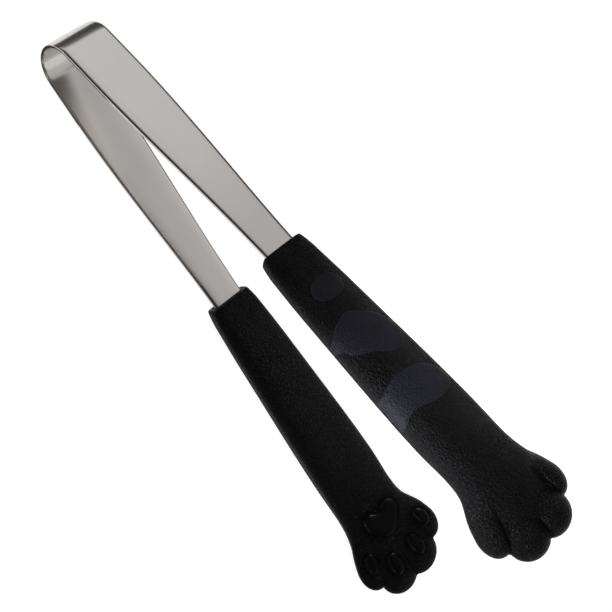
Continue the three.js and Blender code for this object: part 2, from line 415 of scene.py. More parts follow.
def clouded_material(
    name: str, colour: str, cloud_colour: str, cloud_size: float, detail: float = 2.0
) -> tuple[bpy.types.Material, bpy.types.Node, bpy.types.NodeSocket]:
    """Starts a material whose colour drifts a little from place to place.

    Args:
        name: the material's name.
        colour: its colour, as an sRGB hex value.
        cloud_colour: the colour that it drifts towards.
        cloud_size: how far apart the clouds lie, in millimetres.
        detail: how broken the clouds are.

    Returns:
        The material, its shader and the socket of its Object coordinates.
    """
    made = bpy.data.materials.new(name)
    made.use_nodes = True
    tree = made.node_tree
    shader = tree.nodes["Principled BSDF"]
    where = add_node(tree, "ShaderNodeTexCoord").outputs["Object"]
    clouds = add_node(tree, NOISE, {"Scale": 1 / (cloud_size * MM), "Detail": detail}, {"Vector": where})
    tones = {"data_type": "RGBA", 6: linear(colour), 7: linear(cloud_colour)}
    tree.links.new(add_node(tree, MIX, tones, {0: clouds}).outputs[2], shader.inputs["Base Color"])
    return made, shader, where


@dataclass(frozen=True)
class SatinStainless:
    """Rolled stainless spring strip with a satin finish, brushed along its length.

    The fine scratches run along the strip, so highlights spread across it and stay soft. Real ones lie
    some hundredths of a millimetre apart. They are drawn coarser, so that they show in the render.
    """

    colour: str = "#CFCBC8"
    cloud_colour: str = "#C7C3BF"
    roughness: float = 0.22
    roughness_spread: float = 0.04
    scratch_pitch: float = 0.35
    scratch_stretch: float = 0.012
    scratch_height: float = 0.002
    scratch_detail: float = 3.0
    scratch_harshness: float = 0.6
    cloud_size: float = 26.0

    def material(self) -> bpy.types.Material:
        """Builds the material.

        Returns:
            The finished material.
        """
        made, shader, where = clouded_material(
            "satin_stainless_steel", self.colour, self.cloud_colour, self.cloud_size
        )
        tree = made.node_tree
        shader.inputs["Metallic"].default_value = 1.0
        # Scratches follow X and differ across Y alone, so they run round the bow without a break.
        across = 1 / (self.scratch_pitch * MM)
        along = across * self.scratch_stretch
        stretched = add_node(tree, "ShaderNodeMapping", {"Scale": (along, across, along)}, {"Vector": where})
        scratches = add_node(
            tree,
            NOISE,
            {"Scale": 1.0, "Detail": self.scratch_detail, "Roughness": self.scratch_harshness},
            {"Vector": stretched},
        )
        low, high = self.roughness - self.roughness_spread, self.roughness + self.roughness_spread
        gloss = add_node(tree, MAP_RANGE, {3: low, 4: high}, {0: scratches})
        tree.links.new(gloss.outputs[0], shader.inputs["Roughness"])
        height = {"Strength": 1.0, "Distance": self.scratch_height * MM}
        relief = add_node(tree, "ShaderNodeBump", height, {"Height": scratches})
        tree.links.new(relief.outputs[0], shader.inputs["Normal"])
        return made


@dataclass(frozen=True)
class MouldedSilicone:
    """Silicone rubber from a sand-textured mould: matt, with grains that glint where light grazes.

    The real grit is about 0.4 mm. It is drawn nearly twice as coarse, so that it shows in the render.
    """

    name: str
    colour: str
    bloom_colour: str
    roughness: float
    grain_size: float
    grain_height: float
    ior: float = 1.41
    specular: float = 0.06
    bloom_size: float = 18.0
    bloom_detail: float = 3.0
    dust_fineness: float = 1.7
    dust_detail: float = 2.0
    dust_harshness: float = 0.6
    dust_span: tuple[float, float] = (0.3, 0.7)
    roughness_spread: tuple[float, float] = (0.12, 0.1)

    def material(self) -> bpy.types.Material:
        """Builds the material.

        Returns:
            The finished material.
        """
        made, shader, where = clouded_material(
            self.name, self.colour, self.bloom_colour, self.bloom_size, self.bloom_detail
        )
        tree = made.node_tree
        shader.inputs["IOR"].default_value = self.ior
        shader.inputs["Specular IOR Level"].default_value = self.specular
        grain = self.grain_size * MM
        grit = add_node(
            tree, "ShaderNodeTexVoronoi", {"Scale": 1 / grain, "Randomness": 1.0}, {"Vector": where}
        )
        fine = {
            "Scale": self.dust_fineness / grain,
            "Detail": self.dust_detail,
            "Roughness": self.dust_harshness,
        }
        dust = add_node(tree, NOISE, fine, {"Vector": where})
        low, high = self.roughness - self.roughness_spread[0], self.roughness + self.roughness_spread[1]
        span = {1: self.dust_span[0], 2: self.dust_span[1], 3: low, 4: high}
        tree.links.new(add_node(tree, MAP_RANGE, span, {0: dust}).outputs[0], shader.inputs["Roughness"])
        height = add_node(tree, MATH, {"operation": "ADD"}, {0: grit, 1: dust})
        relief = add_node(
            tree, "ShaderNodeBump", {"Strength": 1.0, "Distance": self.grain_height * MM}, {"Height": height}
        )
        tree.links.new(relief.outputs[0], shader.inputs["Normal"])
        return made


@dataclass(frozen=True)
class OpalTable:
    """Opal acrylic table top, lit from below, so that the floor is an even white with hardly a shadow."""

    colour: str = "#BCBCBC"
    cloud_colour: str = "#B8B8B8"
    cloud_size: float = 30.0
    roughness: float = 0.9
    specular: float = 0.1
    glow_colour: str = "#FFFFFF"
    glow: float = 0.86

    def material(self) -> bpy.types.Material:
        """Builds the material.

        Returns:
            The finished material.
        """
        made, shader, _ = clouded_material(
            "lit_opal_acrylic", self.colour, self.cloud_colour, self.cloud_size
        )
        shader.inputs["Roughness"].default_value = self.roughness
        shader.inputs["Emission Color"].default_value = linear(self.glow_colour)
        shader.inputs["Emission Strength"].default_value = self.glow
        shader.inputs["Specular IOR Level"].default_value = self.specular
        return made


BLACK_TONES = ("#070708", "#0A0A0B")
SLATE_TONES = ("#16161C", "#19191F")


@dataclass
class Finishes:
    """The finishes of the tongs, made once each."""

    steel: bpy.types.Material = field(init=False)
    sleeve: bpy.types.Material = field(init=False)
    patch: bpy.types.Material = field(init=False)
    pad: bpy.types.Material = field(init=False)

    def __post_init__(self) -> None:
        """Builds the four materials."""
        self.steel = SatinStainless().material()
        self.sleeve = MouldedSilicone(
            "sand_textured_black_silicone", *BLACK_TONES, roughness=0.27, grain_size=0.76, grain_height=0.4
        ).material()
        self.patch = MouldedSilicone(
            "sand_textured_slate_silicone", *SLATE_TONES, roughness=0.38, grain_size=0.76, grain_height=0.26
        ).material()
        self.pad = MouldedSilicone(
            "smooth_black_silicone", *BLACK_TONES, roughness=0.32, grain_size=0.8, grain_height=0.03
        ).material()

    def dress(self, made: bpy.types.Object, material: bpy.types.Material, slot: Slot) -> None:
        """Gives a piece its material and smooth shading.

        Args:
            made: the piece.
            material: its material.
            slot: the slot that it takes its finish from. It is not used.
        """
        made.data.materials.clear()
        made.data.materials.append(material)
        made.data.shade_smooth()


# Spring strip


@dataclass
class SpringStrip:
    """The one bent strip of both arms, from tang to tang round the bow.

    Its two CAD halves meet at the crown. This piece is continuous there.
    """

    finishes: Finishes
    thickness: float = 1.6
    width: float = 18.4
    bow_depth: float = 10.0
    bow_half_height: float = 11.4
    head_angle: float = 10.4
    waist_angle: float = 7.6
    sleeve_angle: float = 8.5
    arch_end: float = 96.0
    arch_steps: int = 7
    mouth_distance: float = 101.0
    taper_start: float = 22.0
    taper_end: float = 108.0
    tang_width: float = 12.1
    tang_length: float = 74.0
    roll_width: float = 1.1
    roll_depth: float = 0.19
    crown_drop: float = 0.13
    crown_power: float = 5.0
    bend_reach: float = 10.0
    bow_steps: int = 40
    arch_points: int = 121
    path_steps: int = 600
    across_steps: int = 53
    merge_distance: float = 0.001

    def bow_face(self) -> np.ndarray:
        """Draws the outer face of the bow's upper half, from the crown to the head of the arch.

        Returns:
            Its points in side view, one row for each.
        """
        last = math.atan(self.bow_half_height / (self.bow_depth * math.tan(math.radians(self.head_angle))))
        turns = np.linspace(0, last, self.bow_steps + 1)
        return np.stack([self.bow_depth * (1 - np.cos(turns)), self.bow_half_height * np.sin(turns)], 1)

    def arch(self) -> tuple[np.ndarray, float, np.ndarray]:
        """Divides the arch as the facets of the CAD model do.

        Returns:
            The arch's head, the length of the facets along X, and their slopes in degrees.
        """
        head = self.bow_face()[-1]
        shares = np.arange(1, self.arch_steps + 1) / self.arch_steps
        slopes = self.head_angle + (self.waist_angle - self.head_angle) * shares
        return head, (self.arch_end - head[0]) / self.arch_steps, slopes

    def mouth_point(self) -> np.ndarray:
        """Finds the middle of the steel at the mouth of the sleeve.

        Returns:
            Its point in side view.
        """
        head, run, slopes = self.arch()
        corner = np.array([self.arch_end, head[1] + run * np.tan(np.radians(slopes)).sum()])
        direction = direction_at(self.sleeve_angle)
        on_face = corner + direction * (self.mouth_distance - self.arch_end) / direction[0]
        return on_face - normal_at(self.sleeve_angle) * self.thickness / 2

    def path(self) -> np.ndarray:
        """Draws the outer face of the whole strip, from the lower tang round the bow to the upper one.

        The arch's slope changes evenly through the slopes of the CAD model's facets.

        Returns:
            Its points in side view, one row for each.
        """
        head, run, slopes = self.arch()
        middles = (head[0] + run * (k + 0.5) for k in range(self.arch_steps))
        stations = [head[0], *middles, self.arch_end + run / 2]
        x = np.linspace(head[0], stations[-1], self.arch_points)
        slope = np.interp(x, stations, [self.head_angle, *slopes, self.sleeve_angle])
        rise = np.tan(np.radians(slope))
        z = head[1] + np.r_[0, np.cumsum((rise[1:] + rise[:-1]) / 2 * np.diff(x))]
        tip = self.mouth_point() + direction_at(self.sleeve_angle) * self.tang_length
        tip = tip + normal_at(self.sleeve_angle) * self.thickness / 2
        upper = np.vstack([self.bow_face(), np.stack([x, z], 1)[1:], tip[None]])
        lower = upper[:0:-1] * np.array([1, -1])
        return np.vstack([lower, upper])

    def inputs(self) -> dict[str, float | int | bpy.types.Material]:
        """Names the inputs of the strip's tree.

        Returns:
            The value of each input by its name.
        """
        return {
            "Bow half width": self.width / 2,
            "Tang half width": self.tang_width / 2,
            "Taper start": self.taper_start,
            "Taper end": self.taper_end,
            "Thickness": self.thickness,
            "Roll width": self.roll_width,
            "Roll depth": self.roll_depth,
            "Crown drop": self.crown_drop,
            "Crown power": self.crown_power,
            "Along": self.path_steps,
            "Across": self.across_steps,
            "Material": self.finishes.steel,
        }

    def laid_sheet(self, tree: bpy.types.NodeTree, given: bpy.types.NodeOutputs) -> bpy.types.Node:
        """Lays a sheet along the path, with the width of the strip at each place.

        Args:
            tree: the strip's tree.
            given: the sockets of the tree's inputs.

        Returns:
            The node with the sheet. Its points carry their share of the half width, and their distance
            to the edge.
        """
        sheet = add_node(
            tree,
            "GeometryNodeMeshGrid",
            {"Size X": 1.0, "Size Y": 2.0},
            {"Vertices X": given["Along"], "Vertices Y": given["Across"]},
        )
        flat = add_node(tree, SEPARATE, None, {0: add_node(tree, "GeometryNodeInputPosition")})
        share = add_node(tree, MATH, {"operation": "ADD", 1: 0.5}, {0: flat})
        sample = add_node(
            tree,
            "GeometryNodeSampleCurve",
            {"mode": "FACTOR", "use_all_curves": True},
            {"Curves": given["Geometry"], "Factor": share},
        )
        on_path = add_node(tree, SEPARATE, None, {0: sample.outputs["Position"]})
        taper = {
            "Value": on_path,
            "From Min": given["Taper start"],
            "From Max": given["Taper end"],
            "To Min": given["Bow half width"],
            "To Max": given["Tang half width"],
        }
        half_width = add_node(tree, MAP_RANGE, {"interpolation_type": "SMOOTHSTEP"}, taper)
        # The rows lie closer together towards the edges, where the faces bend.
        turn = add_node(tree, MATH, {"operation": "MULTIPLY", 1: math.pi / 2}, {0: flat.outputs[1]})
        side = add_node(tree, MATH, {"operation": "SINE"}, {0: turn})
        across = add_node(tree, MATH, {"operation": "MULTIPLY"}, {0: side, 1: half_width})
        size = add_node(tree, MATH, {"operation": "ABSOLUTE"}, {0: side})
        rest = add_node(tree, MATH, {"operation": "SUBTRACT", 0: 1.0}, {1: size})
        to_edge = add_node(tree, MATH, {"operation": "MULTIPLY"}, {0: rest, 1: half_width})
        place = add_node(tree, "ShaderNodeCombineXYZ", None, {0: on_path, 1: across, 2: on_path.outputs[2]})
        marked = sheet
        for name, value in (("across", size), ("to_edge", to_edge)):
            marked = add_node(
                tree,
                "GeometryNodeStoreNamedAttribute",
                {"data_type": "FLOAT", "domain": "POINT", "Name": name},
                {"Geometry": marked, "Value": value},
            )
        return add_node(tree, SET_POSITION, None, {"Geometry": marked, "Position": place})

    def thickened(
        self, tree: bpy.types.NodeTree, given: bpy.types.NodeOutputs, laid: bpy.types.Node
    ) -> bpy.types.Node:
        """Gives the sheet its thickness, as one closed shape.

        Args:
            tree: the strip's tree.
            given: the sockets of the tree's inputs.
            laid: the node with the sheet.

        Returns:
            The node with the closed shape.
        """
        inward = add_node(tree, MATH, {"operation": "MULTIPLY", 1: -1.0}, {0: given["Thickness"]})
        thick = add_node(
            tree,
            "GeometryNodeExtrudeMesh",
            {"mode": "FACES", "Individual": False},
            {"Mesh": laid, "Offset Scale": inward},
        )
        turned = add_node(tree, "GeometryNodeFlipFaces", None, {0: thick})
        both = add_node(tree, "GeometryNodeJoinGeometry", None, {0: turned})
        tree.links.new(laid.outputs[0], both.inputs[0])
        merge = {"Distance": self.merge_distance}
        return add_node(tree, "GeometryNodeMergeByDistance", merge, {"Geometry": both})

    def eased(
        self, tree: bpy.types.NodeTree, given: bpy.types.NodeOutputs, closed: bpy.types.Node
    ) -> bpy.types.Node:
        """Crowns both faces a little and rolls them down along their edges, as blanking and tumbling do.

        Args:
            tree: the strip's tree.
            given: the sockets of the tree's inputs.
            closed: the node with the closed shape.

        Returns:
            The node with the eased shape.
        """
        share = add_node(tree, READ_ATTRIBUTE, {"data_type": "FLOAT", "Name": "across"})
        steep = add_node(tree, MATH, {"operation": "POWER"}, {0: share, 1: given["Crown power"]})
        crown = add_node(tree, MATH, {"operation": "MULTIPLY"}, {0: steep, 1: given["Crown drop"]})
        away = add_node(tree, READ_ATTRIBUTE, {"data_type": "FLOAT", "Name": "to_edge"})
        into_roll = add_node(
            tree,
            MAP_RANGE,
            {"From Max": 0.0, "To Min": 0.0, "To Max": 1.0},
            {"Value": away, "From Min": given["Roll width"]},
        )
        fall = add_node(tree, MATH, {"operation": "MULTIPLY"}, {0: into_roll, 1: into_roll})
        parts = {0: fall, 1: given["Roll depth"], 2: crown}
        drop = add_node(tree, MATH, {"operation": "MULTIPLY_ADD"}, parts)
        sink = add_node(tree, MATH, {"operation": "MULTIPLY", 1: -1.0}, {0: drop})
        normal = add_node(tree, "GeometryNodeInputNormal")
        side_view = add_node(tree, VECTOR_MATH, {"operation": "MULTIPLY", 1: (1.0, 0.0, 1.0)}, {0: normal})
        unit = add_node(tree, VECTOR_MATH, {"operation": "NORMALIZE"}, {0: side_view})
        shift = add_node(tree, VECTOR_MATH, {"operation": "SCALE"}, {0: unit, "Scale": sink})
        return add_node(tree, SET_POSITION, None, {"Geometry": closed, "Offset": shift})

    def tree(self) -> bpy.types.NodeTree:
        """Builds the Geometry Nodes that turn the path into the strip.

        Returns:
            The finished tree.
        """
        tree = bpy.data.node_groups.new("strip_along_path", "GeometryNodeTree")
        face = tree.interface
        kinds = {float: "NodeSocketFloat", int: "NodeSocketInt", bpy.types.Material: "NodeSocketMaterial"}
        face.new_socket("Geometry", in_out="INPUT", socket_type="NodeSocketGeometry")
        for name, value in self.inputs().items():
            face.new_socket(name, in_out="INPUT", socket_type=kinds[type(value)])
        face.new_socket("Geometry", in_out="OUTPUT", socket_type="NodeSocketGeometry")
        given = add_node(tree, "NodeGroupInput").outputs
        closed = self.thickened(tree, given, self.laid_sheet(tree, given))
        real = add_node(tree, "GeometryNodeRealizeInstances", None, {0: self.eased(tree, given, closed)})
        dressed = {"Geometry": real, "Material": given["Material"]}
        add_node(tree, "NodeGroupOutput", None, {0: add_node(tree, "GeometryNodeSetMaterial", None, dressed)})
        return tree

    def build(self) -> bpy.types.Object:
        """Builds the strip and rounds its edges.

        Returns:
            The finished piece.
        """
        points = self.path()
        curve = bpy.data.curves.new("strip_path", "CURVE")
        curve.dimensions = "3D"
        spline = curve.splines.new("POLY")
        spline.points.add(len(points) - 1)
        for point, (x, z) in zip(spline.points, points):
            point.co = (x, 0, z, 1)
        laid = bpy.data.objects.new("strip_path", curve)
        bpy.context.scene.collection.objects.link(laid)
        tree, values = self.tree(), self.inputs()
        modifier = add_modifier(laid, "NODES", node_group=tree)
        for item in tree.interface.items_tree:
            if item.in_out == "INPUT" and item.name in values:
                modifier[item.identifier] = values[item.name]
        strip = bake(laid, "spring_strip")
        face_outwards(strip)
        strip.data.transform(ROW.matrix())
        self.finishes.dress(strip, self.finishes.steel, Slot.STEEL)
        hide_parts("lower_spring_arm", "upper_spring_arm")
        reach = ROW.direction((0, 0, self.bend_reach * MM))
        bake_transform(strip)
        log.info("%s: %d faces", strip.name, len(strip.data.polygons))
        return strip


# Paw sleeve, with X along the arm from the mouth and Z off the steel on the side of the back


@dataclass(frozen=True)
class Toe:
    """One toe: a lobe with a short round front and a long tail into the paw."""

    along: float
    across: float
    level: float
    turn: float
    front: float
    rear: float
    half_width: float
    back: float
    grip: float

    def shell(self, hand: Hand, rings: int = 40, count: int = 48) -> tuple[np.ndarray, list[list[int]]]:
        """Makes the toe's closed shell.

        Args:
            hand: the side of the paw.
            rings: how many rings there are from the front to the tail.
            count: how many points each ring has.

        Returns:
            The shell's points and faces.
        """
        turns = (np.arange(rings - 1) + 1) / rings * math.pi
        angles = np.arange(count) / count * 2 * math.pi
        points = []
        for t in turns:
            girth, reach = math.sin(t), math.cos(t)
            x = -reach * (self.rear if reach > 0 else self.front)
            z = np.sin(angles) * girth
            z = np.where(z > 0, z * self.back, z * self.grip)
            ring = np.stack([np.full(count, x), self.half_width * girth * np.cos(angles), z], 1)
            points.append(ring)
        points = np.vstack(points)
        turn = math.radians(self.turn * hand.value)
        x = points[:, 0] * math.cos(turn) - points[:, 1] * math.sin(turn) + self.along
        y = points[:, 0] * math.sin(turn) + points[:, 1] * math.cos(turn) + self.across * hand.value
        placed = np.stack([x, y, points[:, 2] + self.level], 1)
        return closed_shell(placed, rings - 1, count)


def closed_shell(points: np.ndarray, rings: int, count: int) -> tuple[np.ndarray, list[list[int]]]:
    """Joins rings of points that follow each other, and closes each end with a fan.

    Args:
        points: the rings' points, ring after ring.
        rings: how many rings there are.
        count: how many points each ring has.

    Returns:
        The points, with the middles of both ends added, and the faces.
    """
    first, last = points[:count].mean(0), points[-count:].mean(0)
    points = np.vstack([points, first, last])
    faces = []
    for r in range(rings - 1):
        for k in range(count):
            a, b = r * count + k, r * count + (k + 1) % count
            faces.append([a, b, b + count, a + count])
    end = (rings - 1) * count
    for k in range(count):
        faces.append([len(points) - 2, (k + 1) % count, k])
        faces.append([len(points) - 1, end + k, end + (k + 1) % count])
    return points, faces


@dataclass(frozen=True)
class Groove:
    """A soft valley pressed into the sleeve along a line in plan, on one of its faces."""

    line: tuple[tuple[float, float], ...]
    depth: float
    half_width: float
    on_back: bool
    fade_in: float = 0.25

    def press(self, points: np.ndarray) -> np.ndarray:
        """How far each point goes down, as a positive distance.

        Args:
            points: places in the sleeve's frame.

        Returns:
            The depth at each point, which grows along the first quarter of the line.
        """
        corners = np.array(self.line, float)
        best = np.zeros(len(points))
        length = np.r_[0, np.cumsum(np.linalg.norm(np.diff(corners, axis=0), axis=1))]
        for k in range(len(corners) - 1):
            run = corners[k + 1] - corners[k]
            gap = points[:, :2] - corners[k]
            share = np.clip(gap @ run / (run @ run), 0, 1)
            away = np.linalg.norm(gap - share[:, None] * run, axis=1)
            place = (length[k] + share * np.linalg.norm(run)) / length[-1]
            valley = np.exp(-((away / self.half_width) ** 2))
            best = np.maximum(best, smoothstep(place / self.fade_in) * valley)
        return self.depth * best


@dataclass(frozen=True)
class SleeveForm:
    """The form of one sleeve: sections along the arm and four toes."""

    length: float = 120.0
    half_width: float = 13.2
    back_height: float = 6.2
    grip_height: float = 3.6
    round_exponent: float = 2.2
    square_exponent: float = 6.0
    # Place along, half width, height of the back and of the grip side as shares, and how square it is
    section_shares: tuple[tuple[float, ...], ...] = (
        (0, 0.64, 0.43, 0.72, 1),
        (0.04, 0.71, 0.49, 0.8, 0.75),
        (0.1, 0.76, 0.56, 0.88, 0.5),
        (0.17, 0.805, 0.63, 0.96, 0.4),
        (0.3, 0.865, 0.72, 1, 0.36),
        (0.43, 0.925, 0.82, 1, 0.34),
        (0.55, 0.97, 0.9, 0.97, 0.32),
        (0.67, 1, 0.97, 0.8, 0.28),
        (0.76, 1.04, 1, 0.55, 0.24),
        (0.83, 1.16, 0.97, 0.42, 0.2),
        (0.9, 1.04, 0.86, 0.4, 0.12),
        (0.96, 0.74, 0.66, 0.36, 0.06),
        (1, 0.34, 0.45, 0.3, 0),
    )
    middle_toe: Toe = Toe(116.6, 5.8, 0.4, 7, 7.1, 17, 8.2, 4.6, 2.0)
    side_toe: Toe = Toe(108.0, 13.5, -0.4, 18, 8.2, 20, 6.2, 4.9, 1.4)
    mouth_slant: float = 0.3
    mouth_reach: float = 12.0

    def body(self, rings: int = 150, count: int = 72) -> tuple[np.ndarray, list[list[int]]]:
        """Makes the body's closed shell, whose mouth leans so that its back reaches nearer the bow.

        Args:
            rings: how many sections there are along the arm.
            count: how many points each section has.

        Returns:
            The shell's points and faces.
        """
        rows = knot_spline(np.array(self.section_shares, float), rings)
        angles = np.arange(count) / count * 2 * math.pi
        points = []
        for along, wide, up, down, square in rows:
            exponent = self.round_exponent + (self.square_exponent - self.round_exponent) * square
            across = np.sign(np.cos(angles)) * np.abs(np.cos(angles)) ** (2 / exponent)
            height = np.sign(np.sin(angles)) * np.abs(np.sin(angles)) ** (2 / exponent)
            z = np.where(height > 0, height * up * self.back_height, height * down * self.grip_height)
            x = np.full(count, along * self.length)
            slant = self.mouth_slant * (1 - smoothstep(along * self.length / self.mouth_reach))
            points.append(np.stack([x - slant * z, wide * self.half_width * across, z], 1))
        return closed_shell(np.vstack(points), rings, count)


@dataclass
class PawSleeve:
    """One sleeve with its patches and pads."""

    level: Level
    finishes: Finishes
    strip: SpringStrip
    form: SleeveForm = field(default_factory=SleeveForm)
    voxel: float = 0.42
    smooth_share: float = 0.5
    smooth_steps: int = 9
    fillet_along: float = 90.0
    fillet_across: float = 13.5
    fillet_length: float = 16.0
    fillet_width: float = 8.0
    fillet_steps: int = 220
    surface: BVHTree | None = None

    # Grooves between the toes: points along and across for the left hand, from the palm to the notch
    back_grooves: tuple[tuple[tuple[float, float], ...], ...] = (
        ((101.0, 9.3), (105.0, 10.4), (109.0, 11.6), (113.5, 12.8)),
        ((114.0, 0.0), (118.0, 0.0), (121.5, 0.0)),
    )
    grip_grooves: tuple[tuple[tuple[float, float], ...], ...] = (
        ((102.0, 9.0), (107.5, 10.8), (113.8, 12.8)),
        ((110.0, 0.0), (115.0, 0.0), (121.5, 0.0)),
    )
    # Depth and half width of each groove
    back_groove_size: tuple[float, float] = (0.5, 0.5)
    grip_groove_size: tuple[float, float] = (0.5, 1.0)

    def matrix(self) -> Matrix:
        """Lays the sleeve's frame in the CAD frame.

        Returns:
            The matrix from the sleeve's frame in millimetres to the CAD frame in metres.
        """
        x, z = self.strip.mouth_point()
        lean = Matrix.Rotation(-math.radians(self.strip.sleeve_angle), 4, "Y")
        at_mouth = Matrix.Translation((x, 0, z)) @ lean
        over = Matrix.Rotation(math.pi if self.level is Level.LOWER else 0, 4, "X")
        return ROW.matrix() @ over @ at_mouth

    def grooves(self) -> list[Groove]:
        """Lists all grooves of the sleeve, on both hands.

        Returns:
            The grooves, with a mirror twin for each one that lies off the middle.
        """
        made = []
        for lines, on_back, size in (
            (self.back_grooves, True, self.back_groove_size),
            (self.grip_grooves, False, self.grip_groove_size),
        ):
            for line in lines:
                made.append(Groove(line, *size, on_back))
                if line[-1][1] > 0:
                    made.append(Groove(tuple((x, -y) for x, y in line), *size, on_back))
        return made

    def blank(self) -> bpy.types.Object:
        """Makes the body and toes as one smooth skin.

        Returns:
            The skin, in the sleeve's frame.
        """
        shells = [self.form.body()]
        for toe in (self.form.middle_toe, self.form.side_toe):
            shells += [toe.shell(hand) for hand in Hand]
        points, faces, start = [], [], 0
        for place, skin in shells:
            points.append(place)
            faces += [[start + k for k in face] for face in skin]
            start += len(place)
        blank = mesh_object("sleeve_blank", np.vstack(points), faces)
        add_modifier(blank, "REMESH", mode="VOXEL", voxel_size=self.voxel, use_smooth_shade=True)
        add_modifier(blank, "SMOOTH", factor=self.smooth_share, iterations=self.smooth_steps)
        skin = bake(blank, f"{self.level.word}_sleeve_skin")
        # Wide fillets where the foreleg runs out into the side toes
        points = places(skin)
        along = (points[:, 0] - self.fillet_along) / self.fillet_length
        across = (np.abs(points[:, 1]) - self.fillet_across) / self.fillet_width
        away = np.hypot(along, across)
        group = skin.vertex_groups.new(name="fillet")
        for k, weight in enumerate(1 - smoothstep(away)):
            if weight > 0:
                group.add([k], float(weight), "REPLACE")
        add_modifier(
            skin, "SMOOTH", factor=self.smooth_share, iterations=self.fillet_steps, vertex_group=group.name
        )
        return bake(skin, f"{self.level.word}_sleeve_skin")

    def build(self) -> list[bpy.types.Object]:
        """Builds the sleeve and what is let into it.

        Returns:
            The finished pieces.
        """
        skin = self.blank()
        points = places(skin)
        for groove in self.grooves():
            facing = points[:, 2] > 0 if groove.on_back else points[:, 2] < 0
            drop = groove.press(points) * facing
            points[:, 2] += -drop if groove.on_back else drop
        move_points(skin, points)
        points = places(skin)
        points[:, 2] += np.max([pad.ditch(points) for pad in PADS], axis=0)
        move_points(skin, points)
        self.surface = BVHTree.FromPolygons(
            [tuple(p) for p in places(skin)], [tuple(f.vertices) for f in skin.data.polygons]
        )
        inlays = [inlay.build(self) for inlay in (*PATCHES, *PADS)]
        skin.name = f"{self.level.word}_sleeve"
        skin.data.name = skin.name
        self.place(skin, self.finishes.sleeve, Slot.SLEEVE, f"{self.level.word}_paw_sleeve")
        log.info("%s: %d faces", skin.name, len(skin.data.polygons))
        return [skin, *inlays]

    def place(self, made: bpy.types.Object, material: bpy.types.Material, slot: Slot, node: str) -> None:
        """Puts a piece into the CAD frame, dresses it and makes it ride on its arm in place of its node.

        Args:
            made: the piece, in the sleeve's frame.
            material: its material.
            slot: the slot that it takes its finish from.
            node: the CAD node that it stands for.
        """
        made.data.transform(self.matrix())
        self.finishes.dress(made, material, slot)
        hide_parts(node)
        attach(made, self.level.body)

    def hit_with_normal(self, start: Vector, way: Vector) -> tuple[Vector, Vector]:
        """Where a ray meets the skin, and the skin's outward normal there.

        Args:
            start: the ray's start in the sleeve's frame.
            way: its direction.

        Returns:
            The place, or the start if the ray misses, and the normal.
        """
        place, normal, *_ = self.surface.ray_cast(start, way)
        return (start, way) if place is None else (place, normal)

    def hit(self, start: Vector, way: Vector) -> Vector:
        """Where a ray meets the skin."""
        return self.hit_with_normal(start, way)[0]


# Inlays: patches that are flush in the back, and pads that lift off the grip side

# A height at which rays towards the sleeve start, well clear of it
CLEAR_OF_SLEEVE = 30.0


def filled(
    outline: np.ndarray, spacing: float, edge_share: float = 0.6, tolerance: float = 1e-5
) -> tuple[np.ndarray, list[list[int]]]:
    """Triangles that fill a closed outline with even points inside it.

    Args:
        outline: the outline's points in plan.
        spacing: the distance between the inner points.
        edge_share: how close they come to the outline, as a share of the spacing.
        tolerance: how close two points count as one.

    Returns:
        The points, with those of the outline first, and the triangles.
    """
    low, high = outline.min(0), outline.max(0)
    xs = np.arange(low[0], high[0], spacing)
    ys = np.arange(low[1], high[1], spacing * math.sqrt(3) / 2)
    grid = np.array([(x + spacing / 2 * (j % 2), y) for j, y in enumerate(ys) for x in xs])
    keep = inside(grid, outline) & (edge_distance(grid, outline) > spacing * edge_share)
    points = np.vstack([outline, grid[keep]])
    count = len(outline)
    edges = [(k, (k + 1) % count) for k in range(count)]
    placed, _, faces, *_ = delaunay_2d_cdt([Vector(p) for p in points], edges, [], 1, tolerance)
    return np.array([tuple(p) for p in placed]), [list(f) for f in faces]


@dataclass(frozen=True)
class Inlay:
    """A piece let into the sleeve. Its skin follows the sleeve's, and its seat is an even depth below."""

    node: str
    outline: Callable[[], np.ndarray]
    rise: float
    shoulder: float
    seat: float
    spacing: float

    def spread(self, sleeve: PawSleeve) -> np.ndarray:
        """The outline in the flat plane in which the piece is filled with triangles."""
        raise NotImplementedError

    def lay(self, points: np.ndarray, sleeve: PawSleeve) -> tuple[np.ndarray, np.ndarray]:
        """Puts points of the flat plane on the sleeve.

        Args:
            points: the points in the flat plane.
            sleeve: the sleeve with its finished surface.

        Returns:
            The places on the skin and the skin's normals there.
        """
        raise NotImplementedError

    def finish(self, finishes: Finishes) -> tuple[bpy.types.Material, Slot]:
        """The material and the slot of the piece."""
        raise NotImplementedError

    def build(self, sleeve: PawSleeve) -> bpy.types.Object:
        """Builds the inlay in one sleeve and puts it in place.

        Args:
            sleeve: the sleeve with its finished surface.

        Returns:
            The finished piece.
        """
        outline = self.spread(sleeve)
        points, faces = filled(outline, self.spacing)
        count, total = len(outline), len(points)
        skin, normals = self.lay(points, sleeve)
        depth = np.clip(edge_distance(points, outline) / self.shoulder, 0, 1)
        lift = self.rise * np.sqrt(1 - (1 - depth) ** 2)
        top = skin + normals * lift[:, None]
        seat = skin - normals * self.seat
        floor = [[total + k for k in reversed(face)] for face in faces]
        walls = [[k, (k + 1) % count, total + (k + 1) % count, total + k] for k in range(count)]
        name = f"{sleeve.level.word}_{self.node}_inlay"
        made = mesh_object(name, np.vstack([top, seat]), [*faces, *floor, *walls])
        face_outwards(made)
        sleeve.place(made, *self.finish(sleeve.finishes), f"{sleeve.level.word}_{self.node}")
        log.info("%s: %d faces", made.name, len(made.data.polygons))
        return made


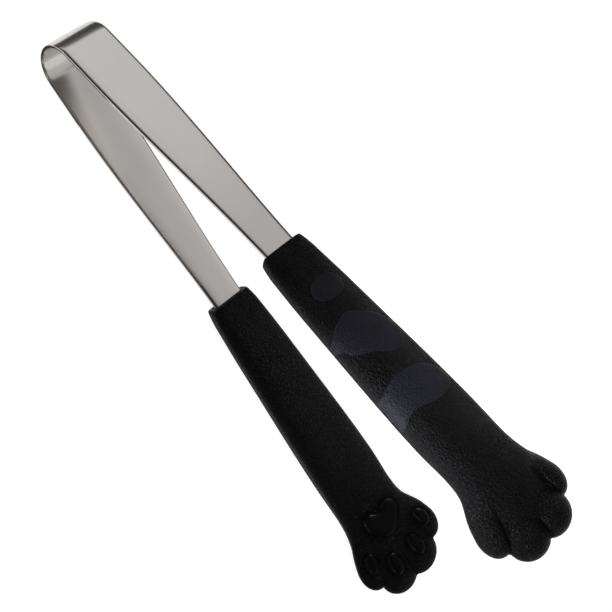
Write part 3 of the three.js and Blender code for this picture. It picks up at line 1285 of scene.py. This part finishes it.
@dataclass(frozen=True)
class Pad(Inlay):
    """A domed pad on the grip side, with a soft ditch round it in the sleeve."""

    ditch_depth: float = 0.3
    ditch_width: float = 0.8

    def ditch(self, points: np.ndarray) -> np.ndarray:
        """How far the sleeve's skin moves up to make the ditch.

        Args:
            points: places on the skin.

        Returns:
            The shift of each point.
        """
        shift = np.zeros(len(points))
        near = points[:, 2] < 0
        away = edge_distance(points[near][:, :2], self.outline())
        shift[near] = self.ditch_depth * np.exp(-((away / self.ditch_width) ** 2))
        return shift

    def spread(self, sleeve: PawSleeve) -> np.ndarray:
        """The outline in plan."""
        return self.outline()

    def lay(self, points: np.ndarray, sleeve: PawSleeve) -> tuple[np.ndarray, np.ndarray]:
        """Puts points in plan on the grip side of the skin, with the pad rising straight off it."""
        found = [sleeve.hit(Vector((x, y, -CLEAR_OF_SLEEVE)), Vector((0, 0, 1))) for x, y in points]
        return np.array(found), np.tile((0.0, 0.0, -1.0), (len(points), 1))

    def finish(self, finishes: Finishes) -> tuple[bpy.types.Material, Slot]:
        """The pad's material and slot."""
        return finishes.pad, Slot.PAD


@dataclass(frozen=True)
class Patch(Inlay):
    """A patch that is flush in the back and wraps down the sleeve's sides where it reaches them.

    Its triangles are laid out flat, with the way round the sleeve rolled out at one radius.
    """

    roll: float = 9.0
    side_reach: float = 0.02

    def spread(self, sleeve: PawSleeve) -> np.ndarray:
        """The outline with the way round the sleeve as its second measure, down to its widest line.

        Args:
            sleeve: the sleeve with its finished surface.

        Returns:
            The rolled-out outline.
        """
        rolled = []
        for x, y in self.outline():
            side = 1 if y > 0 else -1
            widest = sleeve.hit(Vector((x, 0, 0)), Vector((0, side, 0)))[1]
            if abs(y) < abs(widest) - self.side_reach:
                place = sleeve.hit(Vector((x, y, CLEAR_OF_SLEEVE)), Vector((0, 0, -1)))
                angle = math.atan2(place[2], place[1])
            else:
                angle = 0.0 if side > 0 else math.pi
            rolled.append((x, -angle * self.roll))
        return np.array(rolled)

    def lay(self, points: np.ndarray, sleeve: PawSleeve) -> tuple[np.ndarray, np.ndarray]:
        """Puts rolled-out points back on the skin, seen from the middle of the arm.

        Args:
            points: the rolled-out points.
            sleeve: the sleeve with its finished surface.

        Returns:
            The places on the skin and the skin's normals there.
        """
        found, normals = [], []
        for x, roll in points:
            angle = -roll / self.roll
            way = Vector((0, math.cos(angle), math.sin(angle)))
            place, normal = sleeve.hit_with_normal(Vector((x, 0, 0)), way)
            found.append(place)
            normals.append(normal)
        return np.array(found), np.array(normals)

    def finish(self, finishes: Finishes) -> tuple[bpy.types.Material, Slot]:
        """The patch's material and slot."""
        return finishes.patch, Slot.PATCH


def patch_outline(
    start: float, across: float, length: float, width: float, shares: Sequence, steps: int = 9
) -> np.ndarray:
    """A patch's closed outline.

    Args:
        start: where it starts along the arm.
        across: where its middle is across the arm.
        length: its length.
        width: its width.
        shares: its corners, as shares of the length and the width from its middle.
        steps: how many points each stretch between two corners gets.

    Returns:
        The outline's points.
    """
    corners = np.array(shares, float) * (length, width) + (start + length / 2, across)
    return closed_spline(corners, steps)


def oval_outline(
    along: float, across: float, turn: float, length: float, width: float, hand: Hand, count: int = 56
) -> np.ndarray:
    """A toe pad's oval outline.

    Args:
        along: the place of its middle along the arm.
        across: the distance of its middle from the arm's middle.
        turn: how far it is turned outwards, in degrees.
        length: its length.
        width: its width.
        hand: the side of the paw.
        count: how many points it gets.

    Returns:
        The outline's points.
    """
    angles = np.arange(count) / count * 2 * math.pi
    x, y = length / 2 * np.cos(angles), width / 2 * np.sin(angles)
    lean = math.radians(turn * hand.value)
    placed_x = x * math.cos(lean) - y * math.sin(lean) + along
    placed_y = x * math.sin(lean) + y * math.cos(lean) + across * hand.value
    return np.stack([placed_x, placed_y], 1)


def palm_outline(
    along: float, length: float, width: float, dip: float, short_steps: int = 12, long_steps: int = 18
) -> np.ndarray:
    """The palm pad's outline: two lobes towards the wrist and one round front towards the toes.

    Args:
        along: where it starts along the arm.
        length: its length.
        width: its width.
        dip: how deep the notch between the two lobes is.
        short_steps: how many points each end of a side gets.
        long_steps: how many points the middle of a side gets.

    Returns:
        The outline's points.
    """
    end, reach = along + length, width / 2
    shoulder = (end - length / 3, -reach * 0.7)
    notch = [(along + dip, 0), (along + dip, -reach / 4), (along, -reach / 3), (along, -reach / 2)]
    flank = [(along, -reach / 2), (along, -reach), (along + length / 2, -reach - dip / 2), shoulder]
    front = [shoulder, (end - length / 6, -reach / 2), (end, -reach / 3), (end, 0)]
    side = bezier(notch, short_steps) + bezier(flank, long_steps) + bezier(front, short_steps)
    one = np.array([*side, np.array([end, 0.0])])
    other = (one * (1, -1))[::-1][1:-1]
    return np.vstack([one, other])


# Corners of the three patches, as shares of their length and width
EGG_SHARES = (
    (-0.42, -0.3), (-0.5, 0.05), (-0.36, 0.4), (0.04, 0.5),
    (0.4, 0.36), (0.5, 0), (0.34, -0.38), (-0.08, -0.5),
)
BEAN_SHARES = (
    (-0.34, -0.4), (-0.5, -0.04), (-0.38, 0.19), (-0.14, 0.4), (0.2, 0.5),
    (0.46, 0.38), (0.46, 0.12), (0.28, -0.1), (0.13, -0.36), (-0.12, -0.5),
)
WRIST_SHARES = (
    (-0.21, -0.5), (-0.42, -0.3), (-0.5, -0.06), (-0.4, 0.26), (-0.1, 0.46), (0.26, 0.5),
    (0.46, 0.38), (0.46, 0.1), (0.34, -0.14), (0.36, -0.34), (0.48, -0.5),
)
# Start along the arm, place across it, length, width and corners
PATCH_SIZES = {
    "front_patch": (14.8, 0.8, 8.4, 12.0, EGG_SHARES),
    "middle_patch": (28.8, -0.7, 19.4, 22.0, BEAN_SHARES),
    "wrist_patch": (53.8, -1.6, 14.4, 24.4, WRIST_SHARES),
}
# Place along and across, outward turn, length and width
TOE_PAD_SIZES = {
    "side_toe_pad": (106.4, 13.8, 20.0, 8.0, 5.6),
    "middle_toe_pad": (112.6, 5.8, 8.0, 9.0, 6.4),
}
# Start along the arm, length, width and depth of the notch
PALM_SIZE = (91.7, 12.0, 17.2, 2.0)

PATCHES = tuple(
    Patch(name, lambda size=size: patch_outline(*size), rise=0.06, shoulder=0.5, seat=0.55, spacing=0.5)
    for name, size in PATCH_SIZES.items()
)
PADS = (
    Pad(
        "palm_pad",
        lambda: palm_outline(*PALM_SIZE),
        rise=0.9,
        shoulder=1.5,
        seat=0.8,
        spacing=0.4,
        ditch_depth=0.35,
        ditch_width=0.9,
    ),
    *(
        Pad(
            f"{hand.name.lower()}_{name}",
            lambda size=size, hand=hand: oval_outline(*size, hand),
            rise=0.85,
            shoulder=1.9,
            seat=0.8,
            spacing=0.36,
        )
        for name, size in TOE_PAD_SIZES.items()
        for hand in Hand
    ),
)


# Studio


def card(
    name: str, corners: Sequence[Sequence[float]], material: bpy.types.Material
) -> bpy.types.Object:
    """Makes one flat rectangle of the studio, such as its floor.

    Args:
        name: its name.
        corners: its four corners in order, in metres.
        material: its material.

    Returns:
        The object.
    """
    made = mesh_object(name, np.array(corners, float), [[0, 1, 2, 3]])
    made.data.materials.append(material)
    return made


@dataclass(frozen=True)
class Lamp:
    """One soft area light, aimed at a point.

    Its place, size and aim are in metres, its power in watts and its spread in degrees.
    """

    name: str
    place: tuple[float, float, float]
    size: tuple[float, float]
    power: float
    aim: tuple[float, float, float] = (0.0, 0.0, 0.03)
    spread: float = 180.0
    colour: str = "#FFFFFF"

    def build(self) -> bpy.types.Object:
        """Makes the light in the scene.

        Returns:
            The lamp's object.
        """
        light = bpy.data.lights.new(self.name, "AREA")
        light.shape = "RECTANGLE"
        light.size, light.size_y = self.size
        light.energy = self.power
        light.color = linear(self.colour)[:3]
        light.spread = math.radians(self.spread)
        made = bpy.data.objects.new(self.name, light)
        made.location = self.place
        made.rotation_euler = (Vector(self.aim) - Vector(self.place)).to_track_quat("-Z", "Y").to_euler()
        bpy.context.scene.collection.objects.link(made)
        return made


@dataclass(frozen=True)
class Glow:
    """A soft round patch of the surroundings, lighter or darker than what lies behind it.

    Its heading is counted from X towards Y and its height from the horizon, and its inner and outer
    reach are angles from its middle, all in degrees.
    """

    heading: float
    height: float
    inner: float
    outer: float
    colour: str

    def way(self) -> tuple[float, float, float]:
        """The direction of its middle."""
        turn, rise = math.radians(self.heading), math.radians(self.height)
        return (math.cos(rise) * math.cos(turn), math.cos(rise) * math.sin(turn), math.sin(rise))


@dataclass(frozen=True)
class Flag:
    """A small dark card that the camera doesn't see, shown only as a mirror image in the steel. On the floor
    it is painted shadow.
    """

    name: str
    corners: tuple[tuple[float, float, float], ...]
    colour: str = "#4C4C4C"
    roughness: float = 1.0

    def build(self) -> None:
        """Makes the card."""
        paper = bpy.data.materials.new("matt_grey_card")
        paper.use_nodes = True
        shader = paper.node_tree.nodes["Principled BSDF"]
        shader.inputs["Base Color"].default_value = linear(self.colour)
        shader.inputs["Roughness"].default_value = self.roughness
        made = card(self.name, self.corners, paper)
        made.visible_camera = made.visible_diffuse = made.visible_shadow = False


@dataclass
class Studio:
    """Pale floor, white backdrop, soft lights and the camera at the photograph's angle."""

    floor_reach: float = 3.0
    dim: str = "#3A3A3A"
    backdrop: str = "#FFFFFF"
    horizon: tuple[float, float] = (0.09, 0.24)
    high_glows: tuple[Glow, ...] = (
        Glow(150, 30, 0, 42, "#F6F6F6"),
        Glow(93, 54, 7, 21, "#E8E8E8"),
        Glow(110, 70, 5, 9.5, "#7A7A7A"),
        Glow(88, 38, 6, 13, "#F4F4F4"),
        Glow(52, 36, 14, 28, "#DCDCDC"),
        Glow(105, 15, 12, 27, "#262626"),
        Glow(200, 38, 14, 42, "#0E0E0E"),
    )
    low_glows: tuple[Glow, ...] = (Glow(25, 8, 18, 30, "#F6F6F6"), Glow(147, 8, 8, 15, "#5C5C5C"))
    # Camera in the arm's frame: its place, and its right and down directions
    camera_place: tuple[float, float, float] = (116.87, -206.12, 373.48)
    camera_right: tuple[float, float, float] = (0.62344, 0.67538, 0.39393)
    camera_down: tuple[float, float, float] = (0.78183, -0.54338, -0.30574)
    focal_pixels: float = 1281.6
    image_pixels: float = 612.0
    sensor: float = 36.0
    clip: tuple[float, float] = (0.01, 20.0)
    lamps: tuple[Lamp, ...] = (
        Lamp("camera_side_softbox", (0.5, -0.6, 0.8), (0.4, 0.4), 3.0),
        Lamp("low_left_softbox", (-0.7, -0.5, 0.3), (0.3, 0.3), 2.0),
        Lamp("near_paw_softbox", (-0.01, -0.28, 0.17), (0.05, 0.05), 0.1, (0.055, 0.0, 0.085), 28.0),
        Lamp("far_paw_softbox", (-0.02, 0.3, 0.035), (0.06, 0.06), 0.022, (0.07, 0.0, 0.02), 40.0),
    )
    flags: tuple[Flag, ...] = (
        Flag(
            "standing_flag",
            ((-0.171, -0.02, 0), (-0.122, 0.067, 0), (-0.122, 0.067, 0.023), (-0.171, -0.02, 0.023)),
        ),
        # Painted shadow: the two lying cards darken the floor under the bow, where its contact shadow falls,
        # as the steel mirrors it
        Flag(
            "painted_shadow_card",
            ((-0.13, -0.03, 4e-4), (-0.087, -0.03, 4e-4), (-0.087, -0.0098, 4e-4), (-0.13, -0.0098, 4e-4)),
        ),
        Flag(
            "far_painted_shadow_card",
            ((-0.118, 0.0098, 4e-4), (-0.07, 0.0098, 4e-4), (-0.09, 0.03, 4e-4), (-0.115, 0.03, 4e-4)),
        ),
    )

    def floor(self, material: bpy.types.Material) -> None:
        """Makes the floor under the tongs."""
        r = self.floor_reach
        card("floor", [(-r, -r, 0), (r, -r, 0), (r, r, 0), (-r, r, 0)], material)

    def camera(self) -> None:
        """Makes the camera from its place and directions in the arm's frame."""
        data = bpy.data.cameras.new("photo_camera")
        data.sensor_width = self.sensor
        data.lens = self.focal_pixels * self.sensor / self.image_pixels
        data.clip_start, data.clip_end = self.clip
        right = ROW.direction(self.camera_right).normalized()
        up = -ROW.direction(self.camera_down)
        up = (up - right * up.dot(right)).normalized()
        back = right.cross(up)
        turn = Matrix((right, up, back)).transposed().to_4x4()
        made = bpy.data.objects.new("photo_camera", data)
        made.matrix_world = Matrix.Translation(ROW.matrix() @ Vector(self.camera_place)) @ turn
        bpy.context.scene.collection.objects.link(made)
        bpy.context.scene.camera = made

    def world(self) -> None:
        """Makes the surroundings: dim, with soft glows that stop short of the horizon, and low ones."""
        world = bpy.data.worlds.new("studio")
        world.use_nodes = True
        tree = world.node_tree
        ways = add_node(tree, "ShaderNodeTexCoord").outputs["Generated"]
        height = add_node(tree, SEPARATE, None, {0: ways}).outputs[2]
        dim = add_node(tree, "ShaderNodeRGB").outputs[0]
        dim.default_value = linear(self.dim)
        shade = dim
        for glow in self.high_glows:
            shade = self.laid_over(tree, ways, shade, glow)
        fade = {"interpolation_type": "SMOOTHSTEP", 1: self.horizon[0], 2: self.horizon[1]}
        above = add_node(tree, MAP_RANGE, fade, {0: height})
        shade = add_node(tree, MIX, {"data_type": "RGBA"}, {0: above, 6: dim, 7: shade}).outputs[2]
        for glow in self.low_glows:
            shade = self.laid_over(tree, ways, shade, glow)
        # A white backdrop behind the tongs, which neither lights them nor shows in the steel
        seen = add_node(tree, "ShaderNodeLightPath").outputs["Is Camera Ray"]
        shown = add_node(tree, MIX, {"data_type": "RGBA", 7: linear(self.backdrop)}, {0: seen, 6: shade})
        tree.links.new(shown.outputs[2], tree.nodes["Background"].inputs["Color"])
        bpy.context.scene.world = world

    @staticmethod
    def laid_over(
        tree: bpy.types.NodeTree, ways: bpy.types.NodeSocket, shade: bpy.types.NodeSocket, glow: Glow
    ) -> bpy.types.NodeSocket:
        """Lays one glow over a shade of the surroundings.

        Args:
            tree: the world's node tree.
            ways: the direction of each part of the surroundings.
            shade: the colour behind the glow.
            glow: the glow.

        Returns:
            The socket with both.
        """
        near = add_node(tree, VECTOR_MATH, {"operation": "DOT_PRODUCT", 1: glow.way()}, {0: ways})
        reach = {
            "interpolation_type": "SMOOTHSTEP",
            1: math.cos(math.radians(glow.outer)),
            2: math.cos(math.radians(glow.inner)),
        }
        share = add_node(tree, MAP_RANGE, reach, {0: near.outputs["Value"]})
        lit = {"data_type": "RGBA", 7: linear(glow.colour)}
        return add_node(tree, MIX, lit, {0: share, 6: shade}).outputs[2]

    def build(self) -> None:
        """Makes the whole studio."""
        self.floor(OpalTable().material())
        for lamp in self.lamps:
            lamp.build()
        for flag in self.flags:
            flag.build()
        self.camera()
        self.world()
        # Plain tones, because the photograph's white and black lie at the ends of the scale.
        bpy.context.scene.view_settings.view_transform = "Standard"


def main() -> None:
    """Builds the studio, the strip and both paws in order."""
    logging.basicConfig(level=logging.INFO, format="%(name)s: %(message)s")
    Studio().build()
    finishes = Finishes()
    strip = SpringStrip(finishes)
    strip.build()
    for level in Level:
        PawSleeve(level, finishes, strip).build()


if __name__ == "__main__":
    main()
